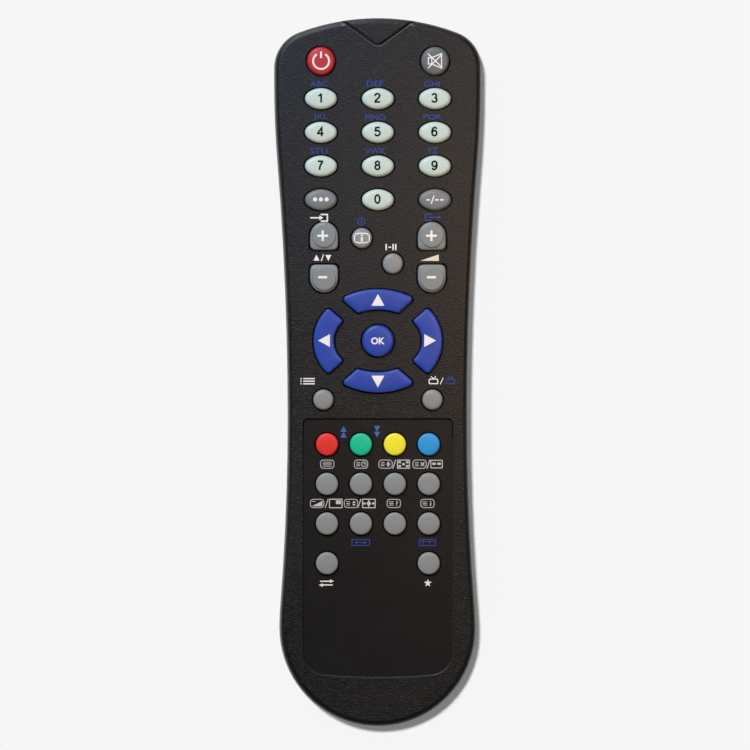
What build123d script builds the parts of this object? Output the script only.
"""A hand-held television remote control: a two-part snap-fit case with a recessed lower panel, 41 moulded
rubber keys over one mat, a circuit board with its infrared emitter behind a V-shaped window, and two AAA
cells behind a cover that slides off the tail.

Millimetres. The case lies on its back: +Z leaves the key face, +Y points to the infrared end, and the
origin is the centre of the outline on the surface that it lies on. Key rows are placed from the nose, and
the battery bay from the tail.
"""

from build123d import *
from collections import namedtuple
from functools import partial
from math import asin, atan, cos, degrees, hypot, pi, radians, sin, sqrt, tan
import os

os.makedirs("parts", exist_ok=True)

# Case outline, seen from above
length = 215.0
nose_half_width = 31.5
waist_half_width = 27.4
tail_radius = 29.9
nose_to_waist = 121.5
nose_to_shoulder = 19.5
nose_radius = 68.0
nose_corner_radius = 11.5
upper_flank_share = 0.763  # the share of the S-bend's radii that its hollow flank takes
lower_flank_share = 0.889

# Case section
face_over_board = 5.4
parting_z = 12.5
seam_gap = 0.2
wall = 2.0
top_draft = 3.0
bottom_draft = 4.0
face_round = 1.7
back_round = 6.0
inner_back_chamfer = 2.5
lip_height = 1.5
lip_thickness = 0.9
lip_clearance = 0.1

# Feet moulded on the back
foot_width = 3.0
foot_length = 8.0
foot_height = 0.4
foot_x = 18.0
foot_to_nose = 27.0
foot_to_tail = 32.0

# Recessed lower panel
panel_half_width = 22.8
panel_above_keys = 7.9
panel_to_tail = 14.9
panel_sag = 1.5
panel_depth = 0.6
panel_bevel = 35.0
panel_top_round = 1.6
panel_bottom_round = 7.0

# Key rows, each measured from the one above
nose_to_power = 13.3
power_to_digits = 11.4
digit_pitch_x = 17.25
digit_pitch_y = 10.2
zero_to_rocker = 10.9
rocker_pitch = 13.0
rocker_x = 16.3
info_x = 4.85
info_drop = 0.7
sound_x = 4.5
sound_drop = 7.7
rocker_to_dial = 18.8
dial_to_corner_keys = 17.8
corner_key_x = 16.5
corner_keys_to_colours = 13.5
panel_pitch_x = 10.27
panel_pitch_y = 12.0

# Key shapes
digit_length = 9.9
digit_width = 6.6
digit_end_radius = 2.4
large_diameter = 8.7
small_diameter = 6.4
panel_key_diameter = 6.9
centre_diameter = 9.9
rocker_radius = 4.35
rocker_foot = 4.4
rocker_corner = 1.2
rocker_disc_radius = 3.5
rocker_step = 0.45
dial_to_side = 7.85
dial_half_height = 15.7
dial_band = 6.3
dial_gap = 4.5
dial_gap_angle = 41.0
dial_outer_corner = 1.1
dial_inner_corner = 0.8
arch_foot_width = 18.2
arch_foot_length = 15.2
key_rise = 1.4
key_chamfer = 0.5
hole_clearance = 0.4
flange_reach = 0.9
flange_clearance = 0.2
pill_length = 3.0
pill_width = 2.4
pill_thickness = 0.4
travel = 1.0
touch_gap = 0.05

# Rubber mat: a sheet on the board, open under each key and under the dial
mat_thickness = 0.8
mat_clearance = 0.2

# Circuit board
board_thickness = 1.6
board_over_bay = 0.7
board_inset = 4.7
board_past_keys = 6.2
board_past_tabs = 5.0
board_notch_width = 8.0
pad_length = 4.4
pad_width = 3.4
pad_thickness = 0.1
slot_clearance = 0.2
solder_gap = 0.05

# Bosses of the top case, which pass through the mat and locate the board
boss_radius = 1.5
boss_gap = 0.15
boss_above_digits = 8.0
boss_past_dial = 0.75
boss_above_dial = 11.5
boss_below_corner_keys = 2.9
pin_radius = 0.8
pin_clearance = 0.2
pin_depth = 1.4

# Snap catches between the two halves of the case
nose_to_catches = [51.5, 105.5, 161.5]
catch_length = 6.0
ledge_reach = 0.75
ledge_over_parting = 1.7
ledge_height = 1.0
arm_clearance = 0.2
arm_thickness = 1.1
hook_reach = 0.6
hook_height = 1.1
arm_foot = 6.0
arm_foot_height = 3.0

# Posts and ribs of the bottom case
post_radius = 1.8
post_gap = 0.15
post_to_side = 8.0
rib_height = 2.5
rib_thickness = 1.0
nose_to_ribs = [41.5, 87.5, 117.5]

# Infrared window and emitter
window_depth = 9.2
window_half_angle = 54.0
window_apex_round = 2.6
window_gap = 0.3
window_bevel = 0.3
window_groove = 0.55  # width of the step along the window's V, open upwards
window_groove_depth = 1.6
window_flange = 1.2
window_flange_thickness = 1.0
window_flange_gap = 0.15
emitter_radius = 2.5
emitter_rim_radius = 2.9
emitter_rim = 1.0
emitter_under_board = 0.3
emitter_length = 8.4
emitter_gap = 0.9
lead_pitch = 2.54
lead_width = 0.5
lead_length = 6.0

# AAA cells
cell_radius = 5.25
cell_length = 44.5
nub_radius = 1.9
nub_length = 0.8
cell_edge = 0.5
cell_pitch = 11.2
cell_clearance = 0.35

# Battery bay, moulded in the bottom case
bay_half_width = 16.1
bay_to_tail = 11.5
bay_wall = 1.2
bay_headroom = 0.25
spring_room = 5.2
cradle_count = 3
cradle_grip = 2.0  # how far above the cells' middle the cradles end

# Battery cover
cover_half_width = 14.5
cover_past_bay = 5.4
cover_corner = 4.0
cover_height = 7.0
cover_gap = 0.25
rail_reach = 1.3
rail_thickness = 1.0
rail_web = 1.3
rail_clearance = 0.15
tongue_width = 2.0
tongue_to_side = 3.3  # clears the cells as the cover slides
tongue_reach = 1.6
grip_width = 15.0
grip_length = 10.0
grip_depth = 0.6
grip_pitch = 2.0
grip_rib = 0.8
grip_from_front = 6.0

# Battery contacts
contact_thickness = 0.4
contact_width = 9.0
contact_height = 8.0
contact_gap = 0.05
strap_height = 1.8
tab_width = 1.6
spring_wire = 0.5
spring_base_radius = 3.4
spring_tip_radius = 2.0
spring_turns = 3

# Parts soldered under the board, placed from the middle of the digit block
chip_width = 7.6
chip_length = 17.8
chip_thickness = 2.4
chip_drop = 17.6
standoff = 0.1
leg_pitch = 1.27
leg_pairs = 14
leg_reach = 1.4
leg_width = 0.4
leg_height = 1.2
resonator_length = 7.0
resonator_width = 3.4
resonator_height = 6.0
resonator_x = 12.0
resonator_drop = 6.0
capacitor_radius = 3.0
capacitor_length = 9.0
capacitor_groove = 0.4
capacitor_x = -11.0
capacitor_drop = 36.0
wire_radius = 0.3
transistor_radius = 2.3
transistor_flat = 1.5
transistor_height = 4.6
transistor_lead = 1.5
transistor_x = 9.0
transistor_rise = 14.0
resistor_length = 3.2
resistor_width = 1.6
resistor_height = 0.6
resistor_pitch = 4.0
resistor_count = 4
resistor_x = -12.0

# Heights that follow from the sizes above, from the cells up
root_z = 0.75 * wall
cell_z = wall + cell_clearance + cell_radius
bay_roof_z = cell_z + cell_radius + bay_headroom
board_bottom = bay_roof_z + bay_wall + board_over_bay
board_top = board_bottom + board_thickness
case_height = board_top + face_over_board
underside = case_height - wall
panel_z = case_height - panel_depth
pad_top = board_top + pad_thickness
pill_bottom = pad_top + touch_gap + travel
key_bottom = pill_bottom + pill_thickness
flange_top = underside - flange_clearance
face_key_top = case_height + key_rise
panel_key_top = panel_z + key_rise
emitter_z = board_bottom - emitter_under_board
ledge_bottom = parting_z + ledge_over_parting
rail_bottom = wall + rail_clearance
rail_top = rail_bottom + rail_thickness
bay_end_bottom = rail_top + cover_gap

# Places that follow from them: the key rows from the nose
nose_y = length / 2
tail_y = -length / 2
waist_y = nose_y - nose_to_waist
shoulder_y = nose_y - nose_to_shoulder
power_y = nose_y - nose_to_power
digit_y = power_y - power_to_digits
digit_middle_y = digit_y - digit_pitch_y
zero_y = digit_y - 3 * digit_pitch_y
plus_y = zero_y - zero_to_rocker
minus_y = plus_y - rocker_pitch
info_y = plus_y - info_drop
sound_y = info_y - sound_drop
dial_y = minus_y - rocker_to_dial
corner_key_y = dial_y - dial_to_corner_keys
colour_y = corner_key_y - corner_keys_to_colours
last_row_y = colour_y - 3 * panel_pitch_y
dial_half_width = waist_half_width - dial_to_side
panel_top_y = colour_y + panel_above_keys
panel_bottom_y = tail_y + panel_to_tail

# The window and the emitter behind it
window_apex_y = nose_y - window_depth
emitter_tip_y = nose_y - wall - emitter_gap
emitter_back_y = emitter_tip_y - emitter_length

# The battery bay from the tail, and the board over it
bay_back_y = tail_y + bay_to_tail
bay_front_y = bay_back_y + cell_length + spring_room + 2 * (contact_thickness + contact_gap)
bay_middle_y = (bay_front_y + bay_back_y) / 2
bay_length = bay_front_y - bay_back_y
cell_x = cell_pitch / 2
tab_x = panel_pitch_x
cover_front_y = bay_front_y + cover_past_bay
board_back_y = min(last_row_y - board_past_keys, bay_front_y - board_past_tabs)

boss_places = [
    (0, digit_y + boss_above_digits),
    (-dial_half_width - boss_past_dial, dial_y + boss_above_dial),
    (dial_half_width + boss_past_dial, dial_y + boss_above_dial),
    (0, corner_key_y - boss_below_corner_keys),
    (0, last_row_y),
]
foot_places = [
    (side * foot_x, y) for y in (nose_y - foot_to_nose, tail_y + foot_to_tail) for side in (-1, 1)
]
catch_places = [nose_y - distance for distance in nose_to_catches]
rib_places = [nose_y - distance for distance in nose_to_ribs]


# Case outline

def s_bend(rise, run, share):
    """Two arcs that carry a line sideways by rise over run and leave it parallel: the angle that each
    turns through, and their two radii, of which the first takes the given share."""
    angle = 2 * atan(rise / run)
    both_radii = run / sin(angle)
    return degrees(angle), both_radii * share, both_radii * (1 - share)


hip_y = tail_y + tail_radius
nose_centre_y = nose_y - nose_radius
corner_x = nose_half_width - nose_corner_radius
corner_reach = nose_radius - nose_corner_radius
corner_y = nose_centre_y + sqrt(corner_reach**2 - corner_x**2)
corner_angle = degrees(asin((corner_y - nose_centre_y) / corner_reach))
low_angle, low_flank_radius, hip_radius = s_bend(
    tail_radius - waist_half_width, waist_y - hip_y, lower_flank_share
)
high_angle, high_flank_radius, shoulder_radius = s_bend(
    nose_half_width - waist_half_width, shoulder_y - waist_y, upper_flank_share
)

with BuildSketch() as case_outline:
    with BuildLine():
        tail_arc = JernArc((0, tail_y), (1, 0), tail_radius, 90)
        hip_arc = JernArc(tail_arc @ 1, tail_arc % 1, hip_radius, low_angle)
        low_arc = JernArc(hip_arc @ 1, hip_arc % 1, low_flank_radius, -low_angle)
        high_arc = JernArc(low_arc @ 1, low_arc % 1, high_flank_radius, -high_angle)
        shoulder_arc = JernArc(high_arc @ 1, high_arc % 1, shoulder_radius, high_angle)
        side_line = Line(shoulder_arc @ 1, (nose_half_width, corner_y))
        corner_arc = JernArc(side_line @ 1, (0, 1), nose_corner_radius, corner_angle)
        nose_arc = JernArc(corner_arc @ 1, corner_arc % 1, nose_radius, 90 - corner_angle)
        mirror(about=Plane.YZ)
    make_face()


def inset_outline(inset):
    """The case outline, moved inward by inset."""
    with BuildSketch(mode=Mode.PRIVATE) as inset_face:
        add(case_outline.sketch)
        offset(amount=-inset)
    return inset_face.sketch


def half_width_at(y):
    """Half the width of the case at y, on its hollow flanks."""
    radius = high_flank_radius if y > waist_y else low_flank_radius
    return waist_half_width + radius - sqrt(radius**2 - (y - waist_y) ** 2)


post_places = [
    (side * (half_width_at(y) - post_to_side - post_radius), y)
    for y in (digit_middle_y - digit_pitch_y / 2, sound_y, colour_y)
    for side in (-1, 1)
]


# Key outlines, each about its own centre and moved outward by grow

def round_outline(diameter, grow):
    """A disc."""
    with BuildSketch(mode=Mode.PRIVATE) as disc:
        Circle(diameter / 2 + grow)
    return disc.sketch


def oval_outline(grow):
    """An oval of four tangent arcs."""
    half_length = digit_length / 2 + grow
    half_width = digit_width / 2 + grow
    end_radius = digit_end_radius + grow
    end_x = half_length - end_radius
    rise = half_width - end_radius
    centre_drop = (end_x**2 - rise**2) / (2 * rise)
    side_angle = degrees(atan(end_x / centre_drop))
    with BuildSketch(mode=Mode.PRIVATE) as oval:
        with BuildLine():
            end = JernArc((half_length, 0), (0, 1), end_radius, 90 - side_angle)
            JernArc(end @ 1, end % 1, half_width + centre_drop, side_angle)
            mirror(about=Plane.YZ)
            mirror(about=Plane.XZ)
        make_face()
    return oval.sketch


def rocker_outline(direction, grow):
    """A disc whose side towards its twin is squared: direction is -1 where the twin is below."""
    with BuildSketch(mode=Mode.PRIVATE) as rocker:
        Circle(rocker_radius)
        with Locations((0, direction * rocker_foot / 2)):
            Rectangle(2 * rocker_radius, rocker_foot)
        feet = rocker.vertices().sort_by(lambda corner: direction * corner.Y)[-2:]
        fillet(feet, rocker_corner)
        if grow:
            offset(amount=grow)
    return rocker.sketch


def gap_corner(half_width, half_height, side):
    """Where an edge of the gap that leaves the dial's centre up and to the right meets an ellipse: side
    is +1 for the gap's upper edge and -1 for its lower one."""
    slope = radians(dial_gap_angle)
    start_x = -side * dial_gap / 2 * sin(slope)
    start_y = side * dial_gap / 2 * cos(slope)
    square = (cos(slope) / half_width) ** 2 + (sin(slope) / half_height) ** 2
    linear = start_x * cos(slope) / half_width**2 + start_y * sin(slope) / half_height**2
    rest = (start_x / half_width) ** 2 + (start_y / half_height) ** 2 - 1
    along = (sqrt(linear**2 - square * rest) - linear) / square
    return start_x + along * cos(slope), start_y + along * sin(slope)


def arch_outline(facing, grow):
    """One of the four arched keys, about the dial's centre: facing is the way that it points."""
    upright = facing in ("up", "down")
    side = 1 if upright else -1
    outer_x, outer_y = gap_corner(dial_half_width, dial_half_height, side)
    inner_x, inner_y = gap_corner(dial_half_width - dial_band, dial_half_height - dial_band, side)
    outer_end = (-outer_x, outer_y) if upright else (outer_x, -outer_y)
    inner_end = (-inner_x, inner_y) if upright else (inner_x, -inner_y)
    outer_middle = (0, dial_half_height) if upright else (dial_half_width, 0)
    inner_middle = (0, dial_half_height - dial_band) if upright else (dial_half_width - dial_band, 0)
    with BuildSketch(mode=Mode.PRIVATE) as arch:
        with BuildLine():
            ThreePointArc(outer_end, outer_middle, (outer_x, outer_y))
            Line((outer_x, outer_y), (inner_x, inner_y))
            ThreePointArc((inner_x, inner_y), inner_middle, inner_end)
            Line(inner_end, outer_end)
        make_face()
        corners = arch.vertices().sort_by(lambda corner: hypot(corner.X, corner.Y))
        fillet(corners[2:], dial_outer_corner)
        inner_corners = arch.vertices().sort_by(lambda corner: hypot(corner.X, corner.Y))[:2]
        fillet(inner_corners, dial_inner_corner)
        if grow:
            offset(amount=grow)
        if facing in ("down", "left"):
            mirror(about=Plane.XZ if upright else Plane.YZ, mode=Mode.REPLACE)
    return arch.sketch


# Keys

Key = namedtuple("Key", "name x y outline width depth top pad_x pad_y")

# The outline of each kind of key, and the width and depth of its foot
large = (partial(round_outline, large_diameter), large_diameter, large_diameter)
small = (partial(round_outline, small_diameter), small_diameter, small_diameter)
panel_round = (partial(round_outline, panel_key_diameter), panel_key_diameter, panel_key_diameter)
centre = (partial(round_outline, centre_diameter), centre_diameter, centre_diameter)
oval = (oval_outline, digit_length, digit_width)
plus_rocker = (partial(rocker_outline, -1), 2 * rocker_radius, 2 * rocker_radius)
minus_rocker = (partial(rocker_outline, 1), 2 * rocker_radius, 2 * rocker_radius)
up_arch = (partial(arch_outline, "up"), arch_foot_width, dial_band)
down_arch = (partial(arch_outline, "down"), arch_foot_width, dial_band)
left_arch = (partial(arch_outline, "left"), dial_band, arch_foot_length)
right_arch = (partial(arch_outline, "right"), dial_band, arch_foot_length)


def place_key(name, x, y, kind, top=face_key_top, pad_x=0.0, pad_y=0.0):
    """A key at x and y, whose flange and contact pill lie at pad_x and pad_y from there."""
    outline, width, depth = kind
    return Key(name, x, y, outline, width, depth, top, x + pad_x, y + pad_y)


arch_middle_x = dial_half_width - dial_band / 2
arch_middle_y = dial_half_height - dial_band / 2
dial_keys = [
    place_key("key_ok", 0, dial_y, centre),
    place_key("key_up", 0, dial_y, up_arch, pad_y=arch_middle_y),
    place_key("key_down", 0, dial_y, down_arch, pad_y=-arch_middle_y),
    place_key("key_left", 0, dial_y, left_arch, pad_x=-arch_middle_x),
    place_key("key_right", 0, dial_y, right_arch, pad_x=arch_middle_x),
]
rocker_keys = [
    place_key("key_program_up", -rocker_x, plus_y, plus_rocker),
    place_key("key_program_down", -rocker_x, minus_y, minus_rocker),
    place_key("key_volume_up", rocker_x, plus_y, plus_rocker),
    place_key("key_volume_down", rocker_x, minus_y, minus_rocker),
]
single_keys = [
    place_key("key_power", -digit_pitch_x, power_y, large),
    place_key("key_mute", digit_pitch_x, power_y, large),
    place_key("key_source", -digit_pitch_x, zero_y, oval),
    place_key("key_0", 0, zero_y, oval),
    place_key("key_two_digit", digit_pitch_x, zero_y, oval),
    place_key("key_info", -info_x, info_y, small),
    place_key("key_sound", sound_x, sound_y, small),
    place_key("key_menu", -corner_key_x, corner_key_y, small),
    place_key("key_tv", corner_key_x, corner_key_y, small),
]
for digit in range(1, 10):
    row, column = divmod(digit - 1, 3)
    x = (column - 1) * digit_pitch_x
    single_keys.append(place_key(f"key_{digit}", x, digit_y - row * digit_pitch_y, oval))
panel_rows = [
    ["key_red", "key_green", "key_yellow", "key_blue"],
    ["key_page_1", "key_page_2", "key_page_3", "key_page_4"],
    ["key_view_1", "key_view_2", "key_view_3", "key_view_4"],
    ["key_swap", None, None, "key_favourite"],
]
for row, names in enumerate(panel_rows):
    for column, name in enumerate(names):
        if name:
            x = (column - (len(names) - 1) / 2) * panel_pitch_x
            y = colour_y - row * panel_pitch_y
            single_keys.append(place_key(name, x, y, panel_round, panel_key_top))
keys = single_keys + rocker_keys + dial_keys


def all_outlines(grow):
    """The outlines of all the keys in their places, moved outward by grow."""
    faces = [one.outline(grow).moved(Location((one.x, one.y))) for one in keys]
    with BuildSketch(mode=Mode.PRIVATE) as outlines:
        add(faces)
    return outlines.sketch


def make_key(one):
    """A key with the flange that keeps it under the face, and the conductive pill on its foot."""
    raised = one in rocker_keys
    shoulder = one.top - rocker_step if raised else one.top
    with BuildPart() as solid:
        with BuildSketch(Plane.XY.offset(key_bottom)):
            with Locations((one.x, one.y)):
                add(one.outline(0))
        extrude(amount=shoulder - key_bottom)
        chamfer(solid.faces().sort_by(Axis.Z)[-1].edges(), key_chamfer)
        if raised:
            with BuildSketch(Plane.XY.offset(shoulder)):
                with Locations((one.x, one.y)):
                    Circle(rocker_disc_radius)
            extrude(amount=rocker_step)
        with BuildSketch(Plane.XY.offset(key_bottom)):
            with Locations((one.pad_x, one.pad_y)):
                Rectangle(one.width + 2 * flange_reach, one.depth + 2 * flange_reach)
        extrude(amount=flange_top - key_bottom)
        with BuildSketch(Plane.XY.offset(key_bottom)):
            with Locations((one.pad_x, one.pad_y)):
                Rectangle(pill_length, pill_width)
        extrude(amount=-pill_thickness)
    return solid.part


for one in keys:
    finished_key = make_key(one)
    finished_key.label = one.name
    export_step(finished_key, f"parts/{one.name}.step")


# Snap catches

def catch_ledge(side, y):
    """The ledge inside the top case that a hook of the bottom case closes over."""
    wall_x = half_width_at(y) - wall
    tip_x = wall_x - ledge_reach
    ledge_top = ledge_bottom + ledge_height
    with BuildPart() as ledge:
        with BuildSketch(Plane.XZ.offset(-y)):
            with BuildLine():
                Polyline(
                    (wall_x + wall / 2, ledge_bottom),
                    (tip_x + ledge_height / 2, ledge_bottom),
                    (tip_x, ledge_bottom + ledge_height / 2),
                    (tip_x, ledge_top),
                    (wall_x + wall / 2, ledge_top),
                    close=True,
                )
            make_face()
            if side < 0:
                mirror(about=Plane.YZ, mode=Mode.REPLACE)
        extrude(amount=catch_length / 2, both=True)
    return ledge.part


def catch_arm(side, y):
    """An arm of the bottom case, whose hook closes over the ledge."""
    wall_x = half_width_at(y) - wall
    arm_x = wall_x - ledge_reach - arm_clearance
    hook_z = ledge_bottom + ledge_height + lip_clearance
    with BuildPart() as arm:
        with BuildSketch(Plane.XZ.offset(-y)):
            with BuildLine():
                Polyline(
                    (arm_x - arm_thickness, arm_foot),
                    (wall_x + wall / 4, arm_foot),
                    (wall_x + wall / 4, arm_foot + arm_foot_height),
                    (arm_x, arm_foot + arm_foot_height),
                    (arm_x, hook_z),
                    (arm_x + hook_reach, hook_z),
                    (arm_x + hook_reach, hook_z + hook_height / 3),
                    (arm_x, hook_z + hook_height),
                    (arm_x - arm_thickness, hook_z + hook_height),
                    close=True,
                )
            make_face()
            if side < 0:
                mirror(about=Plane.YZ, mode=Mode.REPLACE)
        extrude(amount=catch_length / 2, both=True)
    return arm.part


ledges = [catch_ledge(side, y) for y in catch_places for side in (-1, 1)]
arms = [catch_arm(side, y) for y in catch_places for side in (-1, 1)]


# Top case and infrared window

def window_outline(grow):
    """A V that opens towards the nose, with its two arms moved outward by grow."""
    half_angle = radians(window_half_angle)
    apex_y = window_apex_y - grow / sin(half_angle)
    reach = 2 * window_depth
    with BuildSketch(mode=Mode.PRIVATE) as notch:
        with BuildLine():
            Polyline(
                (0, apex_y),
                (reach * tan(half_angle), apex_y + reach),
                (-reach * tan(half_angle), apex_y + reach),
                close=True,
            )
        make_face()
        apex = notch.vertices().sort_by(Axis.Y)[0]
        fillet(apex, max(window_apex_round + grow, window_gap))
    return notch.sketch


with BuildPart() as top_block:
    with BuildSketch(Plane.XY.offset(parting_z + seam_gap)):
        add(case_outline.sketch)
    extrude(amount=case_height - parting_z - seam_gap, taper=top_draft)
    fillet(top_block.faces().sort_by(Axis.Z)[-1].edges(), face_round)

with BuildPart() as top_space:
    with BuildSketch(Plane.XY.offset(parting_z)):
        add(inset_outline(wall))
    extrude(amount=underside - parting_z, taper=top_draft)

with BuildPart() as top_case:
    add(top_block.part)
    add(top_space.part, mode=Mode.SUBTRACT)
    # Rabbet that the bottom case's lip stands in
    with BuildSketch(Plane.XY.offset(parting_z)):
        add(inset_outline(wall - lip_thickness - lip_clearance))
    extrude(amount=lip_height + lip_clearance, mode=Mode.SUBTRACT)
    # Recessed lower panel
    with BuildSketch(Plane.XY.offset(case_height)) as panel:
        with BuildLine():
            Polyline(
                (-panel_half_width, panel_bottom_y + panel_sag),
                (-panel_half_width, panel_top_y),
                (panel_half_width, panel_top_y),
                (panel_half_width, panel_bottom_y + panel_sag),
            )
            ThreePointArc(
                (panel_half_width, panel_bottom_y + panel_sag),
                (0, panel_bottom_y),
                (-panel_half_width, panel_bottom_y + panel_sag),
            )
        make_face()
        fillet(panel.vertices().group_by(Axis.Y)[-1], panel_top_round)
        fillet(panel.vertices().group_by(Axis.Y)[0], panel_bottom_round)
    extrude(amount=-panel_depth, taper=panel_bevel, mode=Mode.SUBTRACT)
    # Notch for the window, and the holes for the keys
    with BuildSketch(Plane.XY.offset(parting_z)):
        add(window_outline(0))
    extrude(amount=case_height, mode=Mode.SUBTRACT)
    with BuildSketch(Plane.XY.offset(case_height - window_bevel)):
        add(window_outline(0))
    extrude(amount=window_bevel, taper=-45, mode=Mode.SUBTRACT)
    with BuildSketch(Plane.XY.offset(underside - wall)):
        add(all_outlines(hole_clearance))
    extrude(amount=3 * wall, mode=Mode.SUBTRACT)
    # Bosses, with the pins that locate the board
    with BuildSketch(Plane.XY.offset(board_top + boss_gap)):
        with Locations(*boss_places):
            Circle(boss_radius)
    extrude(amount=underside + wall / 4 - board_top - boss_gap)
    with BuildSketch(Plane.XY.offset(board_top - pin_depth)):
        with Locations(*boss_places):
            Circle(pin_radius)
    extrude(amount=pin_depth + boss_gap)
    add(ledges)
top_case.part.label = "top_case"
export_step(top_case.part, "parts/top_case.step")

with BuildPart() as ir_window:
    with BuildSketch(Plane.XY.offset(parting_z)):
        add(window_outline(-window_gap))
    extrude(amount=case_height)
    add(top_block.part, mode=Mode.INTERSECT)
    add(top_space.part, mode=Mode.SUBTRACT)
    # Groove along the V
    with BuildSketch(Plane.XY.offset(case_height - window_groove_depth)):
        add(window_outline(-window_gap))
        add(window_outline(-window_gap - window_groove), mode=Mode.SUBTRACT)
    extrude(amount=window_groove_depth, mode=Mode.SUBTRACT)
    # Flange that holds it behind the edge of the notch
    with BuildSketch(Plane.XY.offset(underside - window_flange_gap - window_flange_thickness)):
        add(window_outline(window_flange))
        add(window_outline(-window_gap - window_flange), mode=Mode.SUBTRACT)
        add(inset_outline(wall + window_flange), mode=Mode.INTERSECT)
    extrude(amount=window_flange_thickness)
    with BuildSketch(Plane.XY.offset(underside - window_flange_gap)):
        add(window_outline(-window_gap))
        add(window_outline(-window_gap - window_flange), mode=Mode.SUBTRACT)
        add(inset_outline(wall + window_flange), mode=Mode.INTERSECT)
    extrude(amount=window_flange_gap)
ir_window.part.label = "ir_window"
export_step(ir_window.part, "parts/ir_window.step")


# Bottom case and battery cover

def cover_region(grow):
    """The slab that the cover, or with grow its opening, takes out of the back and the tail."""
    with BuildPart() as region:
        with BuildSketch(Plane.XY.offset(-wall)) as slab:
            with Locations((0, cover_front_y + grow)):
                Rectangle(
                    2 * (cover_half_width + grow), 2 * length, align=(Align.CENTER, Align.MAX)
                )
            fillet(slab.vertices().group_by(Axis.Y)[-1], cover_corner + grow)
        extrude(amount=wall + cover_height + grow)
    return region.part


def side_strips(reach, bottom, top, front_y):
    """Strips along both sides of the cover, from its rails' webs out to reach past its edges."""
    with BuildPart() as strips:
        with BuildSketch(Plane.XY.offset(bottom)):
            for side in (-1, 1):
                with Locations((side * (cover_half_width + (reach - rail_web) / 2), front_y)):
                    Rectangle(rail_web + reach, 2 * length, align=(Align.CENTER, Align.MAX))
        extrude(amount=top - bottom)
    return strips.part


cover_opening = cover_region(cover_gap)
cover_slab = cover_region(0)
rail_front_y = cover_front_y - cover_corner
rail_slots = side_strips(
    rail_reach + rail_clearance, wall, rail_top + rail_clearance, rail_front_y + cover_gap
)
rail_flanges = side_strips(rail_reach, rail_bottom, rail_top, rail_front_y)
rail_webs = side_strips(0, root_z, rail_top, rail_front_y)

with BuildPart() as bottom_block:
    with BuildSketch(Plane.XY.offset(parting_z)):
        add(case_outline.sketch)
    extrude(amount=foot_height - parting_z, taper=bottom_draft)
    fillet(bottom_block.faces().sort_by(Axis.Z)[0].edges(), back_round)

with BuildPart() as bottom_space:
    with BuildSketch(Plane.XY.offset(parting_z)):
        add(inset_outline(wall))
    extrude(amount=wall - parting_z, taper=bottom_draft)
    chamfer(bottom_space.faces().sort_by(Axis.Z)[0].edges(), inner_back_chamfer)

with BuildPart() as ribbed_space:
    add(bottom_space.part)
    with BuildSketch(Plane.XY):
        with Locations(*[(0, y) for y in rib_places]):
            Rectangle(4 * nose_half_width, rib_thickness)
    extrude(amount=wall + rib_height, mode=Mode.SUBTRACT)

cradle_pitch = cell_length / (cradle_count + 1)
with BuildPart() as cradles:
    for number in range(cradle_count):
        cradle_y = bay_middle_y + (number - (cradle_count - 1) / 2) * cradle_pitch
        with BuildSketch(Plane.XZ.offset(-cradle_y)):
            with Locations((0, cell_z + cradle_grip)):
                Rectangle(2 * bay_half_width, bay_roof_z, align=(Align.CENTER, Align.MIN))
            with Locations((-cell_x, cell_z), (cell_x, cell_z)):
                Circle(cell_radius + cell_clearance, mode=Mode.SUBTRACT)
        extrude(amount=bay_wall / 2, both=True)

with BuildPart() as bay_room:
    with BuildSketch(Plane.XY.offset(wall)):
        with Locations((0, bay_middle_y)):
            Rectangle(2 * bay_half_width, bay_length)
    extrude(amount=bay_roof_z - wall)
    add(cradles.part, mode=Mode.SUBTRACT)
    with BuildSketch(Plane.XY.offset(wall)):
        with Locations((0, bay_middle_y)):
            Rectangle(2 * bay_half_width, bay_length + 4 * bay_wall)
    extrude(amount=bay_end_bottom - wall)

with BuildPart() as bottom_case:
    add(bottom_block.part)
    add(ribbed_space.part, mode=Mode.SUBTRACT)
    # Lip that stands in the top case's rabbet
    with BuildSketch(Plane.XY.offset(parting_z - lip_height)):
        add(inset_outline(wall - lip_thickness))
        add(inset_outline(wall), mode=Mode.SUBTRACT)
        add(window_outline(window_flange), mode=Mode.SUBTRACT)
    extrude(amount=2 * lip_height)
    # Posts under the board
    with BuildSketch(Plane.XY.offset(root_z)):
        with Locations(*post_places):
            Circle(post_radius)
    extrude(amount=board_bottom - post_gap - root_z)
    add(arms)
    # Battery bay
    with BuildSketch(Plane.XY.offset(root_z)):
        with Locations((0, bay_middle_y)):
            Rectangle(2 * (bay_half_width + bay_wall), bay_length + 2 * bay_wall)
    extrude(amount=bay_roof_z + bay_wall - root_z)
    add(bay_room.part, mode=Mode.SUBTRACT)
    # Slots in its roof for the contacts' tabs
    with BuildSketch(Plane.XY.offset(bay_roof_z - wall)):
        with Locations((-tab_x, bay_front_y), (tab_x, bay_front_y)):
            Rectangle(
                tab_width + 2 * slot_clearance, 2 * (contact_thickness + contact_gap + slot_clearance)
            )
    extrude(amount=2 * wall, mode=Mode.SUBTRACT)
    # Opening for the cover, and the slots that its rails slide in
    add(cover_opening, mode=Mode.SUBTRACT)
    add(rail_slots, mode=Mode.SUBTRACT)
    with BuildSketch(Plane.XY):
        with Locations(*foot_places):
            Rectangle(foot_width, foot_length)
    extrude(amount=root_z)
bottom_case.part.label = "bottom_case"
export_step(bottom_case.part, "parts/bottom_case.step")

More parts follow.
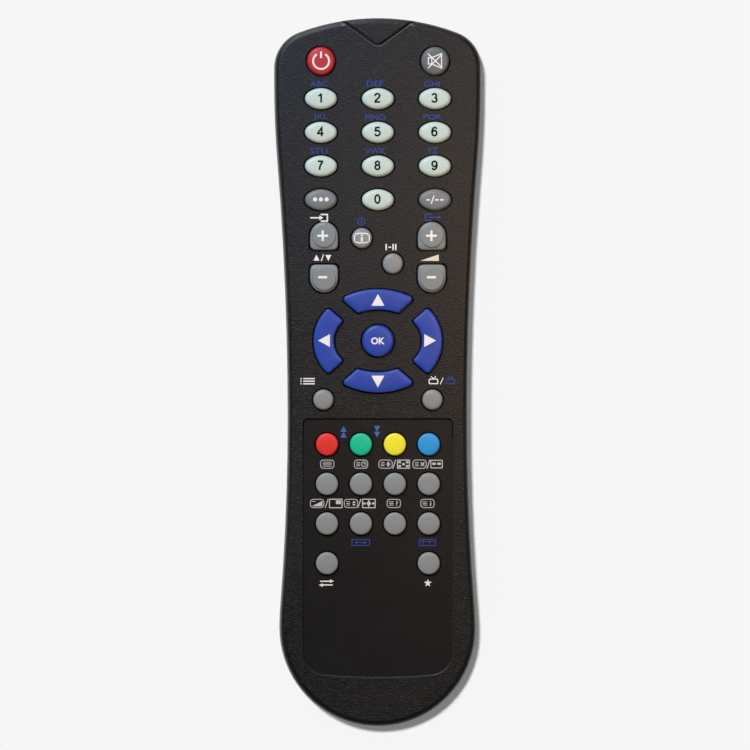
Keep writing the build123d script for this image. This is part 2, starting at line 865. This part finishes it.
with BuildPart() as cover_rails:
    add(rail_flanges)
    add(rail_webs)
    # Tongues that lie on the floor in front of the opening
    tongue_x = cover_half_width - tongue_to_side - tongue_width / 2
    with BuildSketch(Plane.XY.offset(root_z)):
        with Locations((-tongue_x, cover_front_y), (tongue_x, cover_front_y)):
            Rectangle(tongue_width, rail_web, align=(Align.CENTER, Align.MAX))
    extrude(amount=rail_top - root_z)
    with BuildSketch(Plane.XY.offset(rail_bottom)):
        with Locations((-tongue_x, cover_front_y - rail_web), (tongue_x, cover_front_y - rail_web)):
            Rectangle(tongue_width, rail_web + tongue_reach, align=(Align.CENTER, Align.MIN))
    extrude(amount=rail_thickness)
    add(bottom_block.part, mode=Mode.INTERSECT)

with BuildPart() as battery_cover:
    add(bottom_block.part)
    add(bottom_space.part, mode=Mode.SUBTRACT)
    add(cover_slab, mode=Mode.INTERSECT)
    add(cover_rails.part)
    # Thumb grip: a shallow slot crossed by ribs
    grip_y = cover_front_y - grip_from_front - grip_length / 2
    with BuildSketch(Plane.XY.offset(foot_height)):
        with Locations((0, grip_y)):
            RectangleRounded(grip_width, grip_length, grip_length / 3)
        with Locations((0, grip_y)):
            with GridLocations(1, grip_pitch, 1, int(grip_length / grip_pitch) - 1):
                Rectangle(grip_width, grip_rib, mode=Mode.SUBTRACT)
    extrude(amount=grip_depth, mode=Mode.SUBTRACT)
battery_cover.part.label = "battery_cover"
export_step(battery_cover.part, "parts/battery_cover.step")

# Rubber mat and circuit board

with BuildSketch() as board_outline:
    add(inset_outline(board_inset))
    with Locations((0, board_back_y)):
        Rectangle(4 * nose_half_width, length, align=(Align.CENTER, Align.MAX), mode=Mode.SUBTRACT)
    with Locations((0, emitter_back_y - emitter_rim)):
        Rectangle(board_notch_width, length, align=(Align.CENTER, Align.MIN), mode=Mode.SUBTRACT)

mat_margin = flange_reach + mat_clearance
with BuildPart() as key_mat:
    with BuildSketch(Plane.XY.offset(board_top)):
        add(board_outline.sketch)
        for one in single_keys + rocker_keys:
            with Locations((one.pad_x, one.pad_y)):
                Rectangle(one.width + 2 * mat_margin, one.depth + 2 * mat_margin, mode=Mode.SUBTRACT)
        with Locations((0, dial_y)):
            Rectangle(
                2 * (dial_half_width + mat_margin), 2 * (dial_half_height + mat_margin), mode=Mode.SUBTRACT
            )
        with Locations(*boss_places):
            Circle(boss_radius + boss_gap, mode=Mode.SUBTRACT)
    extrude(amount=mat_thickness)
key_mat.part.label = "key_mat"
export_step(key_mat.part, "parts/key_mat.step")

with BuildPart() as circuit_board:
    with BuildSketch(Plane.XY.offset(board_bottom)):
        add(board_outline.sketch)
        with Locations(*boss_places):
            Circle(pin_radius + pin_clearance, mode=Mode.SUBTRACT)
        with Locations((-tab_x, bay_front_y), (tab_x, bay_front_y)):
            Rectangle(
                tab_width + 2 * slot_clearance,
                2 * (contact_thickness + contact_gap + slot_clearance),
                mode=Mode.SUBTRACT,
            )
    extrude(amount=board_thickness)
circuit_board.part.label = "circuit_board"
export_step(circuit_board.part, "parts/circuit_board.step")

with BuildPart() as contact_pads:
    with BuildSketch(Plane.XY.offset(board_top)):
        with Locations(*[(one.pad_x, one.pad_y) for one in keys]):
            Rectangle(pad_length, pad_width)
    extrude(amount=pad_thickness)
contact_pads.part.label = "contact_pads"
export_step(contact_pads.part, "parts/contact_pads.step")

# Infrared emitter, on two leads that are bent under the board

with BuildPart() as ir_led:
    with BuildSketch(Plane.XY.offset(emitter_z)):
        with BuildLine():
            dome_y = emitter_tip_y - emitter_radius
            Polyline(
                (0, emitter_tip_y),
                (0, emitter_back_y),
                (emitter_rim_radius, emitter_back_y),
                (emitter_rim_radius, emitter_back_y + emitter_rim),
                (emitter_radius, emitter_back_y + emitter_rim),
                (emitter_radius, dome_y),
            )
            JernArc((emitter_radius, dome_y), (0, 1), emitter_radius, 90)
        make_face()
    revolve(axis=Axis((0, 0, emitter_z), (0, 1, 0)))
    with BuildSketch(Plane.XZ.offset(-emitter_back_y)):
        with Locations((-lead_pitch / 2, emitter_z), (lead_pitch / 2, emitter_z)):
            Rectangle(lead_width, lead_width)
    extrude(amount=lead_length)
ir_led.part.label = "ir_led"
export_step(ir_led.part, "parts/ir_led.step")

# Cells, each with its nub towards the way given


def make_cell(x, facing, nub_y):
    """A cell at x whose positive nub ends at nub_y and points along facing times +Y."""
    shoulder_y = nub_y - facing * nub_length
    bottom_y = nub_y - facing * cell_length
    with BuildPart() as cell:
        with BuildSketch(Plane.XZ.offset(-bottom_y)):
            with Locations((x, cell_z)):
                Circle(cell_radius)
        extrude(amount=-facing * (cell_length - nub_length))
        chamfer(cell.edges().filter_by(GeomType.CIRCLE), cell_edge)
        with BuildSketch(Plane.XZ.offset(-shoulder_y)):
            with Locations((x, cell_z)):
                Circle(nub_radius)
        extrude(amount=-facing * nub_length)
    return cell.part


left_nub_y = bay_front_y - contact_thickness - 2 * contact_gap
right_nub_y = bay_back_y + contact_thickness + 2 * contact_gap
for name, cell_part in [
    ("battery_left", make_cell(-cell_x, 1, left_nub_y)),
    ("battery_right", make_cell(cell_x, -1, right_nub_y)),
]:
    cell_part.label = name
    export_step(cell_part, f"parts/{name}.step")


# Contacts: plates against the bay's ends, with conical springs for the cells' negative ends

def biarc_points(start, start_way, end, end_way):
    """The point where two arcs meet that leave start and reach end along the given unit vectors."""
    chord = end - start
    ways = start_way + end_way
    room = 2 * (1 - start_way.dot(end_way))
    reach = (sqrt(chord.dot(ways) ** 2 + room * chord.dot(chord)) - chord.dot(ways)) / room
    return (start + start_way * reach + end - end_way * reach) * 0.5


def spring_line(x, start_y, rise):
    """A conical coil about the line through x and the cells' middle: it starts at start_y, and rise is
    how far along Y it ends."""
    quarters = 4 * spring_turns
    nudge = 0.01

    def place(step):
        share = step / quarters
        radius = spring_base_radius + (spring_tip_radius - spring_base_radius) * share
        turn = step * pi / 2
        centre = Vector(x, start_y + rise * share, cell_z)
        return centre + Vector(radius * cos(turn), 0, radius * sin(turn))

    def way(step):
        return (place(step + nudge) - place(step - nudge)).normalized()

    with BuildLine() as coil:
        for step in range(quarters):
            start, end = place(step), place(step + 1)
            middle = biarc_points(start, way(step), end, way(step + 1))
            first = TangentArc(start, middle, tangent=way(step))
            TangentArc(middle, end, tangent=first % 1)
    return coil.line


def coil_gap(coil):
    """The least gap between a coil and itself, from points at least half a turn apart."""
    per_turn = 48
    steps = per_turn * spring_turns
    points = [coil @ (step / steps) for step in range(steps + 1)]
    nearest = min(
        (points[i] - points[j]).length
        for i in range(steps + 1)
        for j in range(i + per_turn // 2, steps + 1)
    )
    return nearest - spring_wire


def make_spring(x, start_y, rise):
    """The coil as one wire."""
    coil = spring_line(x, start_y, rise)
    print(f"spring at x {x:.1f}: least gap to itself {coil_gap(coil):.2f} mm")
    with BuildPart() as spring:
        with BuildLine():
            add(coil)
        with BuildSketch(Plane(coil @ 0, z_dir=coil % 0)):
            RegularPolygon(spring_wire / 2, 6)
        sweep()
    return spring.part


def contact_outline(x, tab):
    """A plate behind a cell at x, with a tab up to the board where tab is the tab's x."""
    with BuildSketch(Plane.XZ, mode=Mode.PRIVATE) as outline:
        with Locations((x, cell_z)):
            RectangleRounded(contact_width, contact_height, contact_height / 4)
        if tab:
            strap_top = cell_z + contact_height / 2
            far_x = tab + tab_width / 2 if tab > 0 else tab - tab_width / 2
            with Locations(((x + far_x) / 2, strap_top)):
                Rectangle(abs(far_x - x), strap_height, align=(Align.CENTER, Align.MAX))
            with Locations((tab, strap_top)):
                Rectangle(
                    tab_width, board_top - contact_gap - strap_top, align=(Align.CENTER, Align.MIN)
                )
    return outline.sketch_local


front_plate_y = bay_front_y - contact_gap - contact_thickness
back_plate_y = bay_back_y + contact_gap
spring_rise = spring_room - 2 * contact_gap - spring_wire
right_spring = make_spring(cell_x, front_plate_y - contact_gap - spring_wire / 2, -spring_rise)
left_spring = make_spring(
    -cell_x, back_plate_y + contact_thickness + contact_gap + spring_wire / 2, spring_rise
)

with BuildPart() as positive_contact:
    with BuildSketch(Plane.XZ.offset(-front_plate_y)):
        add(contact_outline(-cell_x, -tab_x))
    extrude(amount=-contact_thickness)
positive_contact.part.label = "positive_contact"
export_step(positive_contact.part, "parts/positive_contact.step")

with BuildPart() as negative_contact:
    with BuildSketch(Plane.XZ.offset(-front_plate_y)):
        add(contact_outline(cell_x, tab_x))
    extrude(amount=-contact_thickness)
    add(right_spring)
negative_contact.part.label = "negative_contact"
export_step(negative_contact.part, "parts/negative_contact.step")

with BuildPart() as bridge_contact:
    with BuildSketch(Plane.XZ.offset(-back_plate_y)):
        add(contact_outline(-cell_x, 0))
        add(contact_outline(cell_x, 0))
        with Locations((0, cell_z)):
            Rectangle(cell_pitch, contact_height / 2)
    extrude(amount=-contact_thickness)
    add(left_spring)
bridge_contact.part.label = "bridge_contact"
export_step(bridge_contact.part, "parts/bridge_contact.step")

# Parts soldered under the board

chip_y = digit_middle_y - chip_drop
chip_top = board_bottom - standoff
with BuildPart() as controller_chip:
    with BuildSketch(Plane.XY.offset(chip_top)):
        with Locations((0, chip_y)):
            Rectangle(chip_width, chip_length)
    extrude(amount=-chip_thickness)
    with BuildSketch(Plane.XY.offset(board_bottom - solder_gap)):
        with Locations((0, chip_y)):
            with GridLocations(chip_width + leg_reach, leg_pitch, 2, leg_pairs):
                Rectangle(leg_reach, leg_width)
    extrude(amount=-leg_height)
controller_chip.part.label = "controller_chip"
export_step(controller_chip.part, "parts/controller_chip.step")

with BuildPart() as resonator:
    with BuildSketch(Plane.XY.offset(board_bottom - solder_gap)):
        with Locations((resonator_x, digit_middle_y - resonator_drop)):
            RectangleRounded(resonator_length, resonator_width, resonator_width / 2.5)
    extrude(amount=-resonator_height)
resonator.part.label = "resonator"
export_step(resonator.part, "parts/resonator.step")

capacitor_y = digit_middle_y - capacitor_drop
capacitor_z = board_bottom - solder_gap - capacitor_radius
with BuildPart() as capacitor:
    with BuildSketch(Plane.XY.offset(capacitor_z)):
        with BuildLine():
            Polyline(
                (capacitor_x, capacitor_y + capacitor_length),
                (capacitor_x, capacitor_y),
                (capacitor_x + capacitor_radius, capacitor_y),
                (capacitor_x + capacitor_radius, capacitor_y + capacitor_groove),
                (capacitor_x + capacitor_radius - capacitor_groove, capacitor_y + 2 * capacitor_groove),
                (capacitor_x + capacitor_radius, capacitor_y + 3 * capacitor_groove),
                (capacitor_x + capacitor_radius, capacitor_y + capacitor_length),
                close=True,
            )
        make_face()
    revolve(axis=Axis((capacitor_x, 0, capacitor_z), (0, 1, 0)))
    with BuildSketch(Plane.XZ.offset(-capacitor_y)):
        with Locations((capacitor_x, capacitor_z)):
            with GridLocations(lead_pitch, 1, 2, 1):
                Circle(wire_radius)
    extrude(amount=capacitor_radius)
capacitor.part.label = "capacitor"
export_step(capacitor.part, "parts/capacitor.step")

with BuildPart() as transistor:
    with BuildSketch(Plane.XY.offset(board_bottom - transistor_lead)):
        with Locations((transistor_x, digit_middle_y + transistor_rise)):
            Circle(transistor_radius)
        with Locations((transistor_x, digit_middle_y + transistor_rise - transistor_flat)):
            Rectangle(
                3 * transistor_radius, transistor_radius, align=(Align.CENTER, Align.MAX), mode=Mode.SUBTRACT
            )
    extrude(amount=-transistor_height)
    with BuildSketch(Plane.XY.offset(board_bottom - solder_gap)):
        with Locations((transistor_x, digit_middle_y + transistor_rise)):
            with GridLocations(leg_pitch, 1, 3, 1):
                Rectangle(lead_width, lead_width)
    extrude(amount=solder_gap - transistor_lead)
transistor.part.label = "transistor"
export_step(transistor.part, "parts/transistor.step")

with BuildPart() as resistors:
    with BuildSketch(Plane.XY.offset(board_bottom - solder_gap)):
        with Locations((resistor_x, digit_middle_y)):
            with GridLocations(1, resistor_pitch, 1, resistor_count):
                Rectangle(resistor_length, resistor_width)
    extrude(amount=-resistor_height)
resistors.part.label = "resistors"
export_step(resistors.part, "parts/resistors.step")
